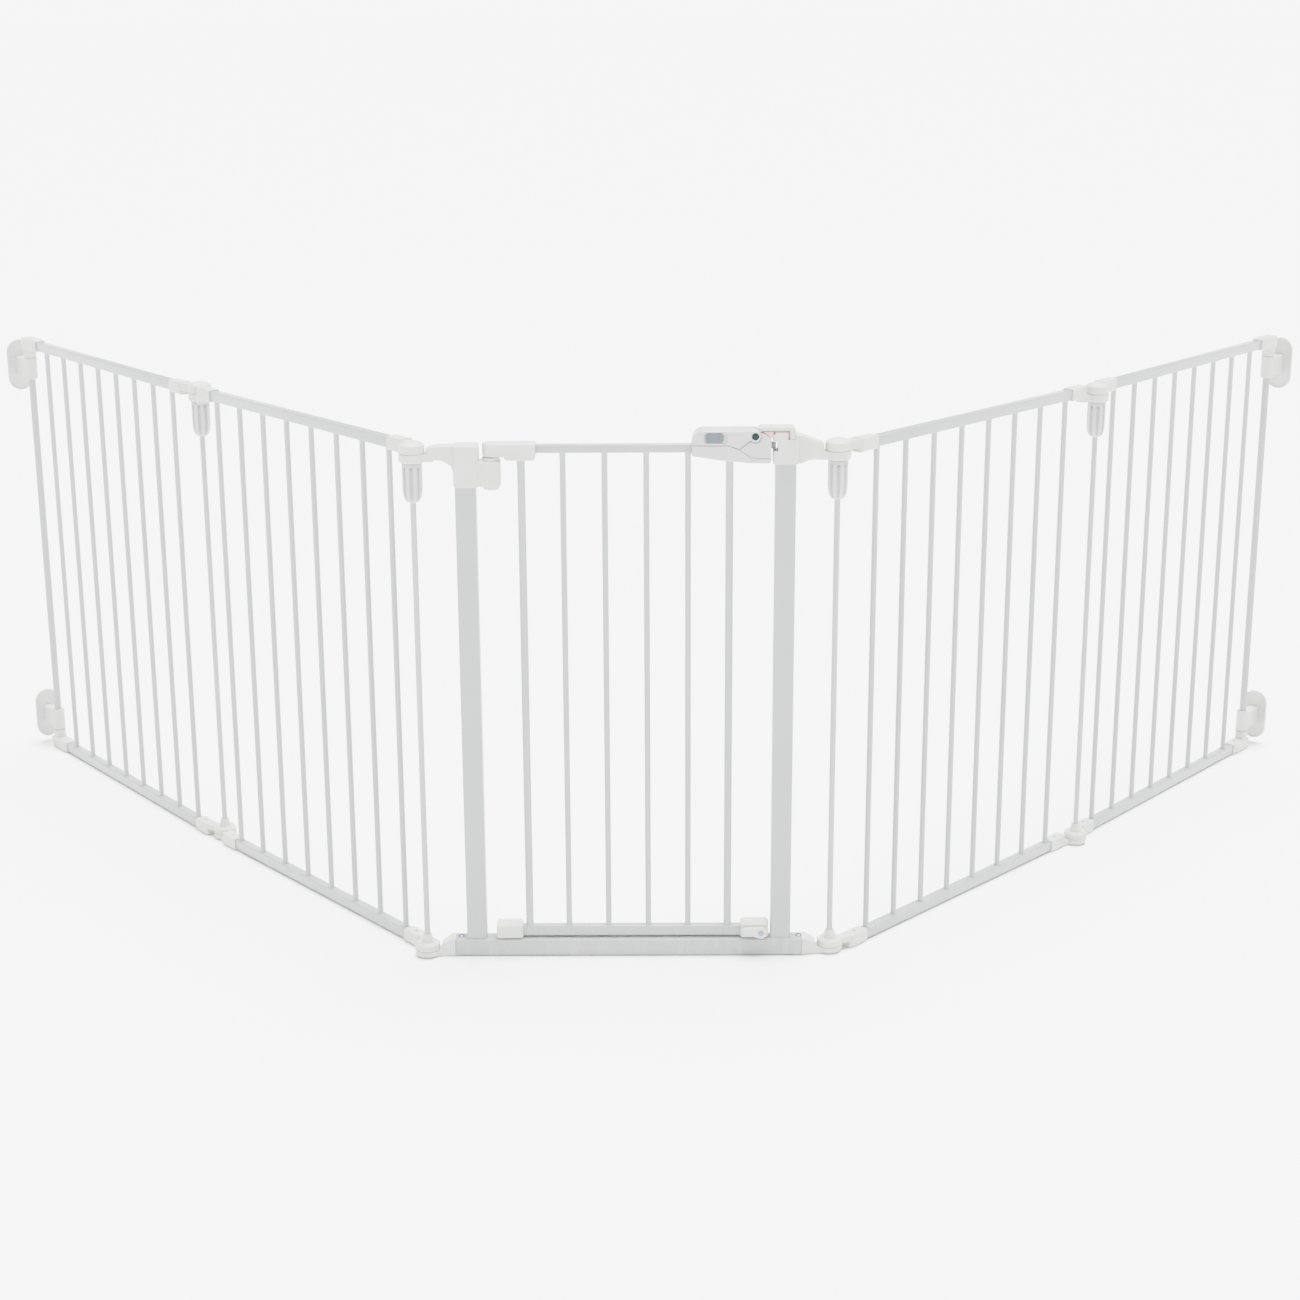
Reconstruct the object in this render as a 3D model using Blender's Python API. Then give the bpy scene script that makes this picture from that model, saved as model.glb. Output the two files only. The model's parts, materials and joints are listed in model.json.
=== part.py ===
"""Free-standing pet gate: a gate frame with a swinging door between two hinged wings of barred panels.

Metres, +Z up. The origin is on the floor, under the middle of the gate's threshold.
+X runs along the gate from the hinge side to the latch side, and -Y is the front.
"""

import math

import bmesh
import bpy
from mathutils import Matrix, Vector

# ---------------------------------------------------------------- driving dimensions, metres
GAP = 0.0003                    # clearance between neighbouring solids

KNUCKLE_X = 0.2884              # gate centre to the knuckle axis on each side
KNUCKLE_Y = 0.0061              # the hinge-side axis is this far in front, the latch-side one behind
PANEL_OFFSET = 0.0111           # knuckle axis to the middle plane of a side panel
FIRST_FOLD = {"left": 130.5, "right": 47.1}     # heading of the panel next to the gate, degrees
SECOND_FOLD = {"left": 128.4, "right": 50.0}    # heading of the panel at the end of the wing

BARS = 8                        # upright bars in a side panel
BAR_PITCH = 0.0661
END_GAP = 0.0704                # knuckle axis or end post to the nearest bar
BAR_R = 0.0042
RAIL = 0.015                    # side of the square panel rails
TOP_RAIL_Z = 0.7375             # middle height of the panels' top rail
BOTTOM_RAIL_Z = 0.0100

SLEEVE = 0.0196                 # outside of the plastic sleeve over a rail end
SLEEVE_START = 0.025            # knuckle axis to the near face of the sleeve
DISC_R = 0.0178
TOP_DISCS = (0.7210, 0.7332, 0.7470)            # bottom, seam and top of the two upper discs
BOTTOM_DISCS = (0.0, 0.0100, 0.0205)            # the same for the two lower discs
COLLAR_TOP = 0.0330
ROD_R = 0.0042
GRIP_R = 0.0138
GRIP_TOP = 0.7206
GRIP_FOOT = 0.6650
FLUTES = 8

END_POST_R = 0.0060
COLLAR_R = 0.0105
CORNER_REACH = 0.044            # corner fitting's sleeve, measured from the end post
BRACKET_HEIGHT = 0.037
BRACKET_Z = {"top": 0.6945, "bottom": 0.0531}
PLATE = (0.005, 0.044, 0.088)   # wall plate's thickness, width and height
PLATE_BACK = 0.051              # end post to the wall

POST_X = 0.217
POST = (0.029, 0.020)           # gate post's width and depth
POST_Z = (0.0262, 0.7330)
THRESHOLD_END = 0.2475
THRESHOLD = (0.0, 0.0258)        # underside and top
THRESHOLD_D = 0.0250
HINGE_X = -0.182
STILE_X = 0.1413
STILE_R = 0.0055
DOOR_BARS = 4
DOOR_PITCH = 0.0566
DOOR_TOP = (0.7320, 0.7435)     # door's top rail, underside and top
DOOR_BOTTOM = (0.0288, 0.0438)
DOOR_RAIL_D = 0.0120

PIN = Vector((0.1753, 0.0, 0.7558))             # the handle's pivot
HANDLE_D = 0.0340
BRACKET_D = 0.0280
LUG_Y = 0.0050                  # half the width of the housing lug between the halves of the handle eye
SCREW_X = (-0.2400, 0.2435)     # the screws on top of the threshold's ends
EYE_R = 0.0082
STOP_SCREW = Vector((0.1889, 0.0, 0.0369))


# ---------------------------------------------------------------- scene and materials
def clear_scene():
    for obj in list(bpy.data.objects):
        bpy.data.objects.remove(obj, do_unlink=True)


def material(name, colour, roughness, metallic=0.0):
    made = bpy.data.materials.new(name)
    made.use_nodes = True
    shader = made.node_tree.nodes["Principled BSDF"]
    shader.inputs["Base Color"].default_value = (*colour, 1.0)
    shader.inputs["Roughness"].default_value = roughness
    shader.inputs["Metallic"].default_value = metallic
    return made


clear_scene()
PAINT = material("painted_steel", (0.78, 0.80, 0.81), 0.35)
PLASTIC = material("white_plastic", (0.83, 0.84, 0.80), 0.45)
GRIP = material("grip_plastic", (0.74, 0.73, 0.75), 0.5)
BUTTON = material("button_grey", (0.35, 0.43, 0.48), 0.5)
ZINC = material("zinc_steel", (0.55, 0.62, 0.68), 0.3, 1.0)
RED = material("red_indicator", (0.62, 0.18, 0.18), 0.5)


# ---------------------------------------------------------------- shapes
def place(bm, name, mat=None, frame=None):
    """Turns a bmesh into an object under a frame empty, with its faces pointing out."""
    bmesh.ops.recalc_face_normals(bm, faces=bm.faces)
    mesh = bpy.data.meshes.new(name)
    bm.to_mesh(mesh)
    bm.free()
    mesh.shade_smooth()
    mesh.set_sharp_from_angle(angle=math.radians(32))
    obj = bpy.data.objects.new(name, mesh)
    bpy.context.collection.objects.link(obj)
    if mat:
        mesh.materials.append(mat)
    if frame:
        obj.parent = frame
    return obj


def empty(name, point, heading=0.0, parent=None):
    """An empty on a joint axis, turned about +Z by heading degrees."""
    obj = bpy.data.objects.new(name, None)
    bpy.context.collection.objects.link(obj)
    obj.location = point
    obj.rotation_euler = (0.0, 0.0, math.radians(heading))
    obj.parent = parent
    return obj


def box(low, high, edge=0.0):
    bm = bmesh.new()
    size = Vector(high) - Vector(low)
    middle = (Vector(high) + Vector(low)) / 2
    bmesh.ops.create_cube(bm, size=1.0, matrix=Matrix.Translation(middle) @ Matrix.Diagonal((*size, 1.0)))
    if edge:
        bmesh.ops.bevel(bm, geom=list(bm.edges), offset=edge, segments=1, affect="EDGES")
    return bm


def prism(outline, low, high, axis="Y", edge=0.0):
    """Extrudes an outline. Along Y its points are (x, z), along Z (x, y), and along X (y, z)."""
    lift = {"X": lambda a, b, t: (t, a, b),
            "Y": lambda a, b, t: (a, t, b),
            "Z": lambda a, b, t: (a, b, t)}[axis]
    bm = bmesh.new()
    rings = [[bm.verts.new(lift(a, b, t)) for a, b in outline] for t in (low, high)]
    caps = [bm.faces.new(ring) for ring in rings]
    count = len(outline)
    for i in range(count):
        j = (i + 1) % count
        bm.faces.new((rings[0][i], rings[0][j], rings[1][j], rings[1][i]))
    bmesh.ops.recalc_face_normals(bm, faces=bm.faces)
    if edge:
        rims = [e for cap in caps for e in cap.edges]
        bmesh.ops.bevel(bm, geom=rims, offset=edge, segments=1, affect="EDGES")
    return bm


def turned(profile, x=0.0, y=0.0, segments=28):
    """Turns (radius, height) points, bottom to top, about a vertical axis, and closes both ends."""
    bm = bmesh.new()
    rings = []
    for radius, z in profile:
        ring = []
        for i in range(segments):
            a = math.tau * i / segments
            ring.append(bm.verts.new((x + radius * math.cos(a), y + radius * math.sin(a), z)))
        rings.append(ring)
    for low, high in zip(rings, rings[1:]):
        for i in range(segments):
            j = (i + 1) % segments
            bm.faces.new((low[i], low[j], high[j], high[i]))
    bm.faces.new(rings[0][::-1])
    bm.faces.new(rings[-1])
    return bm


def rod(radius, low, high, x=0.0, y=0.0, segments=16):
    return turned([(radius, low), (radius, high)], x, y, segments)


def cross_rod(radius, low, high, x, z, segments=24):
    """A cylinder along Y."""
    outline = [(x + radius * math.cos(math.tau * i / segments),
                z + radius * math.sin(math.tau * i / segments))
               for i in range(segments)]
    return prism(outline, low, high)


def arc(cx, cy, radius, start, end, steps):
    """Points on an arc from start to end, in degrees."""
    out = []
    for i in range(steps + 1):
        a = math.radians(start + (end - start) * i / steps)
        out.append((cx + radius * math.cos(a), cy + radius * math.sin(a)))
    return out


def rounded(half_a, half_b, radius, steps=3, ca=0.0, cb=0.0):
    """A rectangle with round corners, centred on (ca, cb)."""
    out = []
    for sa, sb, start in ((1, 1, 0), (-1, 1, 90), (-1, -1, 180), (1, -1, 270)):
        middle = (ca + sa * (half_a - radius), cb + sb * (half_b - radius))
        out += arc(*middle, radius, start, start + 90, steps)
    return out


def tool(name, bm, frame):
    """An object that only shapes others: the build leaves it out."""
    obj = place(bm, name, None, frame)
    obj.hide_render = True
    obj.display_type = "WIRE"
    return obj


def shape(name, base, mat, frame, add=(), cut=()):
    """One solid: the base, joined with each shape in add, less each shape in cut."""
    obj = place(base, name, mat, frame)
    for operation, shapes in (("UNION", add), ("DIFFERENCE", cut)):
        for i, bm in enumerate(shapes):
            step = obj.modifiers.new(f"{operation.lower()}_{i}", "BOOLEAN")
            step.operation = operation
            step.solver = "EXACT"
            step.object = tool(f"{name}_{operation.lower()}_{i}", bm, frame)
    return obj


def merged(shapes):
    """Several bmeshes in one, as one Boolean operand."""
    bm = bmesh.new()
    for part in shapes:
        mesh = bpy.data.meshes.new("scratch")
        part.to_mesh(mesh)
        part.free()
        bm.from_mesh(mesh)
        bpy.data.meshes.remove(mesh)
    return bm


# ---------------------------------------------------------------- side panels
def panel_length(last_gap=END_GAP):
    return END_GAP + (BARS - 1) * BAR_PITCH + last_gap


def bar_place(i):
    return END_GAP + i * BAR_PITCH


def sleeve_end():
    """Where the sleeve stops, just short of the first bar."""
    return END_GAP - BAR_R - 0.003


def grille(name, frame, last):
    """Two square rails and the bars between them, welded into one piece."""
    start = SLEEVE_START + 0.004
    half = RAIL / 2
    rails = []
    for z in (TOP_RAIL_Z, BOTTOM_RAIL_Z):
        rails.append(prism(rounded(half, half, 0.0015, 1, 0.0, z), start, last, "X"))
    bars = []
    for i in range(BARS):
        bars.append(rod(BAR_R, BOTTOM_RAIL_Z + 0.003, TOP_RAIL_Z - 0.003, bar_place(i), 0.0, 12))
    return shape(name, merged(rails), PAINT, frame, add=[merged(bars)])


def sleeve(x0, x1, z):
    """The square moulding over a rail end, along the panel."""
    half = SLEEVE / 2
    return prism(rounded(half, half, 0.003, 2, 0.0, z), x0, x1, "X", 0.0012)


def rail_pocket(x0, x1, z):
    half = RAIL / 2 + GAP
    return box((x0, -half, z - half), (x1, half, z + half))


def hole(x, y, z, depth=0.0014, radius=0.0026):
    """The small screw recess in the top of a sleeve."""
    return rod(radius, z - depth, z + 0.004, x, y, 12)


def disc_profile(low, high, upper, row):
    """The outline of one knuckle disc. The top one is domed and the bottom pair's upper one has a neck."""
    if not upper:
        foot = 0.0035 if row == "bottom" else 0.0012
        return [(DISC_R - foot, low), (DISC_R, low + foot + 0.0008), (DISC_R, high - 0.0008),
                (DISC_R - 0.0008, high)]
    side = [(DISC_R - 0.0008, low), (DISC_R, low + 0.0008), (DISC_R, high - 0.0024),
            (DISC_R - 0.0022, high - 0.0004)]
    if row == "top":
        return side + [(DISC_R * 0.55, high + 0.0019), (0.004, high + 0.0024)]
    return side + [(0.0092, high), (0.0084, high + 0.0030), (0.0062, COLLAR_TOP)]


def fitting(name, frame, axis, side, row, upper):
    """A knuckle moulding: disc, arm and sleeve.

    axis is where the knuckle axis is along and across the panel, side is +1 at the inner end and -1
    at the outer end, row is top or bottom, and upper says whether its disc lies over its neighbour's.
    """
    axis_x, axis_y = axis
    lean = math.copysign(1.0, axis_y)
    rail_z = TOP_RAIL_Z if row == "top" else BOTTOM_RAIL_Z
    low, seam, high = TOP_DISCS if row == "top" else BOTTOM_DISCS
    z0, z1 = (seam + GAP / 2, high) if upper else (low, seam - GAP / 2)
    near, far = SLEEVE_START, sleeve_end()
    block = (rail_z - SLEEVE / 2, rail_z + SLEEVE / 2)
    arm_z = (max(z0 + 0.0004, block[0] + 0.0006) if upper else z0 + 0.0006, min(z1, block[1]) - 0.0006)

    edge = [(0.004, axis_y - lean * 0.012), (0.004, axis_y + lean * 0.006), (near, lean * 0.0082),
            (near + 0.006, lean * 0.0082), (near + 0.006, -lean * 0.0082), (near, -lean * 0.0082)]
    arm = prism([(axis_x + side * a, b) for a, b in edge], *arm_z, "Z", 0.0008)
    slope = [(near, min(block[0], arm_z[0])), (near, block[1]), (near + 0.010, block[1] - 0.0003),
             (near + 0.010, block[0] + 0.0003)]
    half = SLEEVE / 2 - 0.0012
    root = prism([(axis_x + side * a, b) for a, b in slope], -half, half, "Y", 0.001)
    ends = sorted((axis_x + side * (near + 0.002), axis_x + side * far))
    pocket = sorted((axis_x + side * (near + 0.004 - GAP), axis_x + side * (far + 0.010)))

    bore = [z0 - 0.002, z1 + 0.002]
    if row == "top" and upper:
        bore[1] = z1 - 0.003
    if row == "bottom":
        bore = [z0 - 0.002, COLLAR_TOP + 0.002] if upper else [0.0035, z1 + 0.002]
    cut = [rail_pocket(*pocket, rail_z), rod(ROD_R + GAP, *bore, axis_x, axis_y, 16)]
    if row == "bottom":
        cut.append(hole(axis_x + side * (near + far) / 2, 0.0, block[1]))
    disc = turned(disc_profile(z0, z1, upper, row), axis_x, axis_y)
    return shape(name, disc, PLASTIC, frame, [arm, root, sleeve(*ends, rail_z)], cut)


def corner(name, frame, post_x, row):
    """The moulding that joins a rail end to the end post."""
    rail_z = TOP_RAIL_Z if row == "top" else BOTTOM_RAIL_Z
    x0, x1 = post_x - CORNER_REACH, post_x + 0.0125
    add = [box((x0 + 0.006, -0.0107, rail_z - 0.0099), (x1, 0.0107, rail_z + 0.0101), 0.0022)]
    if row == "top":
        collar = [(COLLAR_R - 0.001, 0.7135), (COLLAR_R, 0.7145), (COLLAR_R, 0.7320)]
        bore = (0.7060, 0.7410)
    else:
        collar = [(COLLAR_R - 0.001, 0.0), (COLLAR_R, 0.001), (COLLAR_R, 0.0330), (COLLAR_R - 0.001, 0.0340)]
        bore = (0.0040, 0.0450)
    add.append(turned(collar, post_x, 0.0))
    cut = [rail_pocket(x0 - 0.01, post_x - 0.0125 + GAP, rail_z)]
    cut.append(rod(END_POST_R + GAP, *bore, post_x, 0.0, 20))
    if row == "bottom":
        cut.append(hole(post_x - 0.027, 0.0, rail_z + 0.0101))
    return shape(name, sleeve(x0, x0 + 0.012, rail_z), PLASTIC, frame, add, cut)


def wall_bracket(name, post_frame, row):
    """A cuff round the end post, an arm and a round-ended plate for the wall."""
    z = BRACKET_Z[row]
    half = BRACKET_HEIGHT / 2
    thick, wide, tall = PLATE
    front = PLATE_BACK - thick
    cuff = [(COLLAR_R - 0.001, z - half), (COLLAR_R, z - half + 0.001), (COLLAR_R, z + half - 0.001),
            (COLLAR_R - 0.001, z + half)]
    arm = box((0.004, -0.0080, z - half + 0.003), (front + 0.002, 0.0080, z + half - 0.003), 0.0015)
    plate = prism(rounded(wide / 2, tall / 2, wide / 2 - 0.0002, 8, 0.0, z), front, PLATE_BACK, "X", 0.0014)
    cut = [rod(END_POST_R + GAP, z - half - 0.002, z + half + 0.002, 0.0, 0.0, 20)]
    return shape(name, turned(cuff), PLASTIC, post_frame, [arm, plate], cut)


def lock(name, frame):
    """The fluted grip under a knuckle and the long rod that it turns."""
    profile = ((0.42, GRIP_FOOT), (0.74, GRIP_FOOT + 0.0035), (0.94, GRIP_FOOT + 0.0095),
               (1.0, GRIP_FOOT + 0.0170), (1.0, GRIP_TOP - 0.0030), (0.93, GRIP_TOP))
    steps = FLUTES * 4
    bm = bmesh.new()
    rings = []
    for share, z in profile:
        depth = 0.075 if share > 0.5 else 0.0
        ring = []
        for i in range(steps):
            a = math.tau * i / steps
            r = GRIP_R * share * (1.0 - depth * (0.5 - 0.5 * math.cos(FLUTES * a)))
            ring.append(bm.verts.new((r * math.cos(a), r * math.sin(a), z)))
        rings.append(ring)
    for low, high in zip(rings, rings[1:]):
        for i in range(steps):
            j = (i + 1) % steps
            bm.faces.new((low[i], low[j], high[j], high[i]))
    bm.faces.new(rings[0][::-1])
    bm.faces.new(rings[-1])
    stud = rod(ROD_R, GRIP_TOP - 0.004, TOP_DISCS[2] - 0.0045)
    socket = rod(ROD_R + GAP, GRIP_FOOT - 0.002, GRIP_FOOT + 0.008)
    shape(f"{name}_grip", bm, GRIP, frame, [stud], [socket])
    place(rod(ROD_R, 0.0045, GRIP_FOOT + 0.0075), f"{name}_rod", PAINT, frame)


def panel(key, axis_point, heading, lean, ends_at):
    """One side panel, whose plane is to the right of its inner axis with lean 1 and to the left with -1.

    ends_at is knuckle, or post for the last panel of a wing. Returns the outer knuckle's axis, along
    and across the panel from the inner one.
    """
    frame = empty(f"{key}_axis", axis_point, heading)
    plane = empty(f"{key}_plane", (0.0, -lean * PANEL_OFFSET, 0.0), 0.0, frame)
    length = panel_length()
    for row in ("top", "bottom"):
        fitting(f"{key}_inner_{row}_fitting", plane, (0.0, lean * PANEL_OFFSET), 1, row, True)
    if ends_at == "knuckle":
        grille(f"{key}_grille", plane, length - SLEEVE_START - 0.004)
        for row in ("top", "bottom"):
            fitting(f"{key}_outer_{row}_fitting", plane, (length, -PANEL_OFFSET), -1, row, False)
        return Vector((length, -(1 + lean) * PANEL_OFFSET, 0.0))
    grille(f"{key}_grille", plane, length - 0.0125)
    place(rod(END_POST_R, 0.0045, 0.7405, length, 0.0, 20), f"{key}_end_post", PAINT, plane)
    for row in ("top", "bottom"):
        corner(f"{key}_{row}_corner", plane, length, row)
        post_frame = empty(f"{key}_{row}_bracket_axis", (length, 0.0, 0.0), 0.0, plane)
        wall_bracket(f"{key}_{row}_wall_bracket", post_frame, row)
    return None


def wing(side):
    """Two panels and their two locks. The wing starts at the gate's knuckle on this side."""
    sign = -1 if side == "left" else 1
    start = Vector((sign * KNUCKLE_X, sign * KNUCKLE_Y, 0.0))
    lock(f"{side}_inner_lock", empty(f"{side}_inner_lock_axis", start))
    tip = panel(f"{side}_inner", start, FIRST_FOLD[side], 1, "knuckle")
    bend = start + Matrix.Rotation(math.radians(FIRST_FOLD[side]), 3, "Z") @ tip
    lock(f"{side}_outer_lock", empty(f"{side}_outer_lock_axis", bend))
    panel(f"{side}_outer", bend, SECOND_FOLD[side], -1, "post")


# ---------------------------------------------------------------- gate frame
def gate_posts():
    for side, sign in (("hinge", -1), ("latch", 1)):
        outline = rounded(POST[0] / 2, POST[1] / 2, 0.003, 2, sign * POST_X, 0.0)
        place(prism(outline, *POST_Z, "Z"), f"{side}_post", PAINT)


def threshold():
    half = THRESHOLD_D / 2
    outline = rounded(half, (THRESHOLD[1] - THRESHOLD[0]) / 2, 0.002, 1, 0.0, sum(THRESHOLD) / 2)
    bar = prism(outline, -THRESHOLD_END, THRESHOLD_END, "X")
    pin_hole = rod(0.0035 + GAP, 0.0150, 0.0400, HINGE_X, 0.0, 16)
    screw_holes = [rod(0.0020 + GAP, 0.0140, 0.0400, x, 0.0, 12) for x in SCREW_X]
    shape("threshold_bar", bar, PAINT, None, cut=[pin_hole, *screw_holes])


def knuckle_disc(row, x, y):
    low, seam, _ = TOP_DISCS if row == "top" else BOTTOM_DISCS
    return turned(disc_profile(low, seam - GAP / 2, False, row), x, y)


def threshold_plug(side, sign):
    """Closes one end of the threshold and carries the lower disc of the knuckle."""
    start = THRESHOLD_END + GAP
    stop = KNUCKLE_X - DISC_R - 0.003
    low, high = THRESHOLD
    profile = [(start, low + 0.0003), (start, high), (start + 0.006, high), (stop, high - 0.0083),
               (stop, low + 0.0003)]
    half = THRESHOLD_D / 2
    shift = sign * KNUCKLE_Y
    body = prism([(sign * a, b) for a, b in profile], -half, half, "Y", 0.001)
    for vert in body.verts:
        share = max(0.0, (abs(vert.co.x) - start - 0.006) / (stop - start - 0.006))
        vert.co.y = vert.co.y * (1.0 - 0.25 * share) + shift * 0.45 * share
    foot = [(start + 0.010, shift * 0.2 - 0.0095), (start + 0.010, shift * 0.2 + 0.0095),
            (KNUCKLE_X - 0.003, shift + 0.0125), (KNUCKLE_X - 0.003, shift - 0.0125)]
    arm = prism([(sign * a, b) for a, b in foot], low + 0.0006, BOTTOM_DISCS[1] - GAP / 2 - 0.0004, "Z")
    bore = rod(ROD_R + GAP, 0.0035, 0.030, sign * KNUCKLE_X, shift, 16)
    disc = knuckle_disc("bottom", sign * KNUCKLE_X, shift)
    shape(f"{side}_threshold_plug", disc, PLASTIC, None, [arm, body], [bore])


def post_pocket(sign):
    outline = rounded(POST[0] / 2 + GAP, POST[1] / 2 + GAP, 0.003, 2, sign * POST_X, 0.0)
    return prism(outline, 0.60, POST_Z[1] + GAP, "Z")


def knuckle_arm(sign, outline):
    """The curved arm from a post bracket to the upper knuckle's lower disc."""
    low, seam, _ = TOP_DISCS
    shift = sign * KNUCKLE_Y
    root = min(a for a, _ in outline)
    tip = max(a for a, _ in outline)
    beam = prism([(sign * a, b) for a, b in outline], -0.0105, 0.0105, "Y", 0.0012)
    for vert in beam.verts:
        share = (abs(vert.co.x) - root) / (tip - root)
        vert.co.y = vert.co.y * (1.0 - 0.15 * share) + shift * 0.62 * share
    link = [(tip - 0.010, shift * 0.45 - 0.0085), (tip - 0.010, shift * 0.45 + 0.0085),
            (KNUCKLE_X - 0.003, shift + 0.0120), (KNUCKLE_X - 0.003, shift - 0.0120)]
    plate = prism([(sign * a, b) for a, b in link], low + 0.0008, seam - GAP / 2 - 0.0004, "Z")
    return [beam, plate]


def hinge_bracket():
    """Caps the hinge post, and carries the door's upper hinge barrel and a knuckle disc."""
    half = BRACKET_D / 2
    body = prism(rounded(0.0170, 0.0290, 0.003, 2, -0.2155, 0.7150), -half, half, "Y", 0.0015)
    barrel = prism(rounded(0.0170, 0.0138, 0.0050, 4, -0.1860, 0.0), 0.6872, 0.7220, "Z", 0.0012)
    boss = rod(0.0120, 0.7200, 0.7262, HINGE_X, 0.0)
    beam = [(0.2240, 0.7080), (0.2240, 0.7437), (0.2490, 0.7435), (0.2620, 0.7420), (0.2688, 0.7392),
            (0.2688, 0.7222), (0.2620, 0.7245), (0.2480, 0.7230), (0.2360, 0.7160), (0.2328, 0.7080)]
    arms = knuckle_arm(-1, beam)
    cut = [post_pocket(-1), rod(0.0040 + GAP, 0.6950, 0.7300, HINGE_X, 0.0, 16),
           rod(ROD_R + GAP, 0.70, 0.76, -KNUCKLE_X, -KNUCKLE_Y, 16)]
    disc = knuckle_disc("top", -KNUCKLE_X, -KNUCKLE_Y)
    shape("hinge_bracket", body, PLASTIC, None, [barrel, boss, *arms, disc], cut)
    place(turned([(0.0085, 0.6815), (0.0110, 0.6831), (0.0110, 0.6866)], HINGE_X, 0.0), "hinge_cap", PLASTIC)
    place(rod(0.0040, 0.6955, 0.7380, HINGE_X, 0.0), "upper_hinge_pin", ZINC)
    place(rod(0.0035, 0.0155, 0.0400, HINGE_X, 0.0), "lower_pivot_pin", ZINC)


def strike_bracket():
    """Caps the latch post, takes the latch bolt in a slot and carries a knuckle disc."""
    half = BRACKET_D / 2
    outline = [(0.1996, 0.7170), (0.1996, 0.7560), (0.2030, 0.7610), (0.2198, 0.7610), (0.2198, 0.7510),
               (0.2297, 0.7510), (0.2297, 0.7582), (0.2345, 0.7570), (0.2345, 0.7170)]
    body = prism(outline, -half, half, "Y", 0.0012)
    beam = [(0.2310, 0.7180), (0.2310, 0.7577), (0.2400, 0.7550), (0.2660, 0.7452), (0.2690, 0.7425),
            (0.2690, 0.7222), (0.2620, 0.7230), (0.2480, 0.7212), (0.2380, 0.7172)]
    slot = box((0.1900, -0.0300, 0.7350), (0.2060, 0.0300, 0.7480))
    cut = [post_pocket(1), slot, rod(ROD_R + GAP, 0.70, 0.77, KNUCKLE_X, KNUCKLE_Y, 16)]
    disc = knuckle_disc("top", KNUCKLE_X, KNUCKLE_Y)
    shape("strike_bracket", body, PLASTIC, None, [*knuckle_arm(1, beam), disc], cut)
    hood = [(0.1805, 0.7631), (0.1805, 0.7658), (0.1822, 0.7672), (0.2265, 0.7672), (0.2293, 0.7645),
            (0.2293, 0.7514), (0.2221, 0.7514), (0.2221, 0.7631)]
    place(prism(hood, -0.0132, 0.0132), "strike_hood", PLASTIC)
    strip = [(0.1840, 0.7613), (0.1840, 0.7627), (0.2217, 0.7627), (0.2217, 0.7530), (0.2202, 0.7530),
             (0.2202, 0.7613)]
    place(prism(strip, -0.0135, 0.0125), "lock_indicator", RED)


def foot_screws():
    for side, x in zip(("hinge", "latch"), SCREW_X):
        head = [(0.0020, 0.0150), (0.0020, 0.0261), (0.0045, 0.0261), (0.0045, 0.0270), (0.0030, 0.0279)]
        place(turned(head, x, 0.0, 20), f"{side}_foot_screw", ZINC)


# ---------------------------------------------------------------- door
def door(frame):
    """The swinging leaf. Its frame is on the hinge axis, so every x is measured from there."""
    span = (DOOR_BOTTOM[0] + 0.002, DOOR_TOP[1] - 0.002)
    stiles = [rod(STILE_R, *span, s * STILE_X - HINGE_X, 0.0, 16) for s in (-1, 1)]
    bars = [rod(BAR_R, *span, (i - (DOOR_BARS - 1) / 2) * DOOR_PITCH - HINGE_X, 0.0, 14)
            for i in range(DOOR_BARS)]
    half = DOOR_RAIL_D / 2
    rails = [box((-0.1470 - HINGE_X, -half, DOOR_TOP[0]), (0.1470 - HINGE_X, half, DOOR_TOP[1]), 0.0008),
             box((-0.1700 - HINGE_X, -half, DOOR_BOTTOM[0]), (0.1820 - HINGE_X, half, DOOR_BOTTOM[1]),
                 0.0008)]
    shape("door_grille", merged(rails), PAINT, frame, [merged(stiles), merged(bars)])
    hinge_arm(frame)
    end_blocks(frame)


def door_rail_pocket(x0, x1, rail, top=None):
    half = DOOR_RAIL_D / 2 + GAP
    return box((x0, -half, rail[0] - GAP), (x1, half, top or rail[1] + GAP))


def hinge_arm(frame):
    """Sits on the hinge barrel and takes the top corner of the door."""
    plan = arc(0.0, 0.0, 0.0115, 90, 270, 8) + [(0.0608, -0.0115), (0.0608, 0.0115)]
    base = prism(plan, 0.7275, 0.7462, "Z", 0.0015)
    drop = [(0.0185, 0.7380), (0.0185, 0.7270), *arc(0.0230, 0.7271, 0.0045, 190, 270, 3),
            *arc(0.0561, 0.7271, 0.0045, 270, 350, 3), (0.0606, 0.7380)]
    deeper = prism(drop, -0.0113, 0.0113, "Y", 0.001)
    stile = -STILE_X - HINGE_X
    cut = [door_rail_pocket(stile - STILE_R - 0.0008, 0.090, DOOR_TOP),
           rod(STILE_R + GAP, 0.70, 0.7360, stile, 0.0, 16),
           rod(0.0040 + GAP, 0.72, 0.7385, 0.0, 0.0, 16)]
    shape("hinge_arm", base, PLASTIC, frame, [deeper], cut)


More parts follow.
